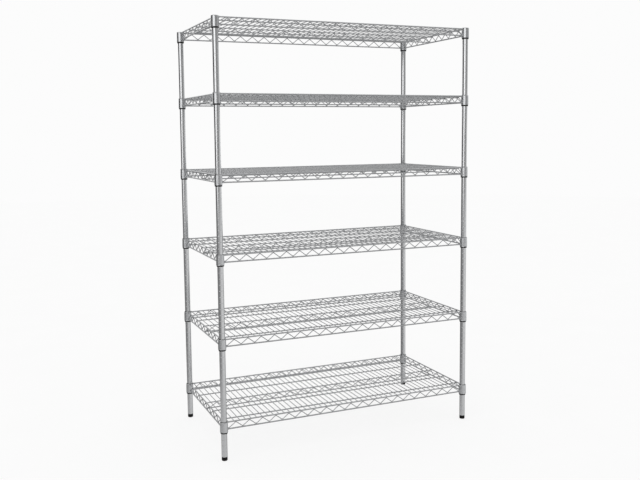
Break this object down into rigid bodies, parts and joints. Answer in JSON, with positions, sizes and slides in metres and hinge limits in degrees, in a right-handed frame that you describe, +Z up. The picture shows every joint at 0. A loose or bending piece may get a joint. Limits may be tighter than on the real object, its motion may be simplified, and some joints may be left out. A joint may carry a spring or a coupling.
{
  "type": "wire shelving rack",
  "caption": "Free-standing open wire rack: round grooved corner posts carry rectangular wire shelves with zigzag edge trusses on tapered sleeves, with screw levelling feet.",
  "frame": {"origin": "on the floor, at the middle of the rack's footprint", "axes": "+Z up along the posts, +X along the shelves' long side, -Y the front"},
  "size_m": [1.2192, 0.6096, 1.8462],
  "materials": {
    "wire_chrome": "bright plated round wire",
    "post_chrome": "bright plated tube with rolled grooves",
    "sleeve_black": "moulded, satin",
    "foot_black": "moulded, matte",
    "stud_zinc": "zinc plated thread"
  },
  "bodies": {
    "rack_frame": {"post_fl": "post_chrome", "post_cap_fl": "post_chrome", "post_fr": "post_chrome", "post_cap_fr": "post_chrome", "post_bl": "post_chrome", "post_cap_bl": "post_chrome", "post_br": "post_chrome", "post_cap_br": "post_chrome", "sleeve_1_fl": "sleeve_black", "sleeve_1_fr": "sleeve_black", "sleeve_1_bl": "sleeve_black", "sleeve_1_br": "sleeve_black", "sleeve_2_fl": "sleeve_black", "sleeve_2_fr": "sleeve_black", "sleeve_2_bl": "sleeve_black", "sleeve_2_br": "sleeve_black", "sleeve_3_fl": "sleeve_black", "sleeve_3_fr": "sleeve_black", "sleeve_3_bl": "sleeve_black", "sleeve_3_br": "sleeve_black", "sleeve_4_fl": "sleeve_black", "sleeve_4_fr": "sleeve_black", "sleeve_4_bl": "sleeve_black", "sleeve_4_br": "sleeve_black", "sleeve_5_fl": "sleeve_black", "sleeve_5_fr": "sleeve_black", "sleeve_5_bl": "sleeve_black", "sleeve_5_br": "sleeve_black", "sleeve_6_fl": "sleeve_black", "sleeve_6_fr": "sleeve_black", "sleeve_6_bl": "sleeve_black", "sleeve_6_br": "sleeve_black"},
    "shelf_1": {"shelf_1_deck": "wire_chrome", "shelf_1_frame": "wire_chrome", "shelf_1_center_truss": "wire_chrome"},
    "shelf_2": {"shelf_2_deck": "wire_chrome", "shelf_2_frame": "wire_chrome", "shelf_2_center_truss": "wire_chrome"},
    "shelf_3": {"shelf_3_deck": "wire_chrome", "shelf_3_frame": "wire_chrome", "shelf_3_center_truss": "wire_chrome"},
    "shelf_4": {"shelf_4_deck": "wire_chrome", "shelf_4_frame": "wire_chrome", "shelf_4_center_truss": "wire_chrome"},
    "shelf_5": {"shelf_5_deck": "wire_chrome", "shelf_5_frame": "wire_chrome", "shelf_5_center_truss": "wire_chrome"},
    "shelf_6": {"shelf_6_deck": "wire_chrome", "shelf_6_frame": "wire_chrome", "shelf_6_center_truss": "wire_chrome"},
    "foot_fl": {"foot_base_fl": "foot_black"},
    "foot_screw_fl": {"foot_stud_fl": "stud_zinc"},
    "foot_fr": {"foot_base_fr": "foot_black"},
    "foot_screw_fr": {"foot_stud_fr": "stud_zinc"},
    "foot_bl": {"foot_base_bl": "foot_black"},
    "foot_screw_bl": {"foot_stud_bl": "stud_zinc"},
    "foot_br": {"foot_base_br": "foot_black"},
    "foot_screw_br": {"foot_stud_br": "stud_zinc"}
  },
  "joints": [
    {"name": "shelf_1_lift", "type": "slide", "parent": "rack_frame", "child": "shelf_1", "axis": [0, 0, 1], "range_m": [0, 0.3]},
    {"name": "shelf_2_lift", "type": "slide", "parent": "rack_frame", "child": "shelf_2", "axis": [0, 0, 1], "range_m": [0, 0.3]},
    {"name": "shelf_3_lift", "type": "slide", "parent": "rack_frame", "child": "shelf_3", "axis": [0, 0, 1], "range_m": [0, 0.275]},
    {"name": "shelf_4_lift", "type": "slide", "parent": "rack_frame", "child": "shelf_4", "axis": [0, 0, 1], "range_m": [0, 0.275]},
    {"name": "shelf_5_lift", "type": "slide", "parent": "rack_frame", "child": "shelf_5", "axis": [0, 0, 1], "range_m": [0, 0.25]},
    {"name": "shelf_6_lift", "type": "slide", "parent": "rack_frame", "child": "shelf_6", "axis": [0, 0, 1], "range_m": [0, 0.06]},
    {"name": "foot_fl_extend", "type": "slide", "parent": "rack_frame", "child": "foot_fl", "axis": [0, 0, -1], "range_m": [0, 0.02]},
    {"name": "foot_fl_turn", "type": "hinge", "parent": "foot_fl", "child": "foot_screw_fl", "pos_m": [-0.5926, -0.2878, 0.02], "axis": [0, 0, -1], "range_deg": [0, 4537]},
    {"name": "foot_fr_extend", "type": "slide", "parent": "rack_frame", "child": "foot_fr", "axis": [0, 0, -1], "range_m": [0, 0.02]},
    {"name": "foot_fr_turn", "type": "hinge", "parent": "foot_fr", "child": "foot_screw_fr", "pos_m": [0.5926, -0.2878, 0.02], "axis": [0, 0, -1], "range_deg": [0, 4537]},
    {"name": "foot_bl_extend", "type": "slide", "parent": "rack_frame", "child": "foot_bl", "axis": [0, 0, -1], "range_m": [0, 0.02]},
    {"name": "foot_bl_turn", "type": "hinge", "parent": "foot_bl", "child": "foot_screw_bl", "pos_m": [-0.5926, 0.2878, 0.02], "axis": [0, 0, -1], "range_deg": [0, 4537]},
    {"name": "foot_br_extend", "type": "slide", "parent": "rack_frame", "child": "foot_br", "axis": [0, 0, -1], "range_m": [0, 0.02]},
    {"name": "foot_br_turn", "type": "hinge", "parent": "foot_br", "child": "foot_screw_br", "pos_m": [0.5926, 0.2878, 0.02], "axis": [0, 0, -1], "range_deg": [0, 4537]}
  ],
  "couplings": [
    {"joint": "foot_fl_turn", "follows": "foot_fl_extend", "rad_per_m": 3957.9},
    {"joint": "foot_fr_turn", "follows": "foot_fr_extend", "rad_per_m": 3957.9},
    {"joint": "foot_bl_turn", "follows": "foot_bl_extend", "rad_per_m": 3957.9},
    {"joint": "foot_br_turn", "follows": "foot_br_extend", "rad_per_m": 3957.9}
  ]
}
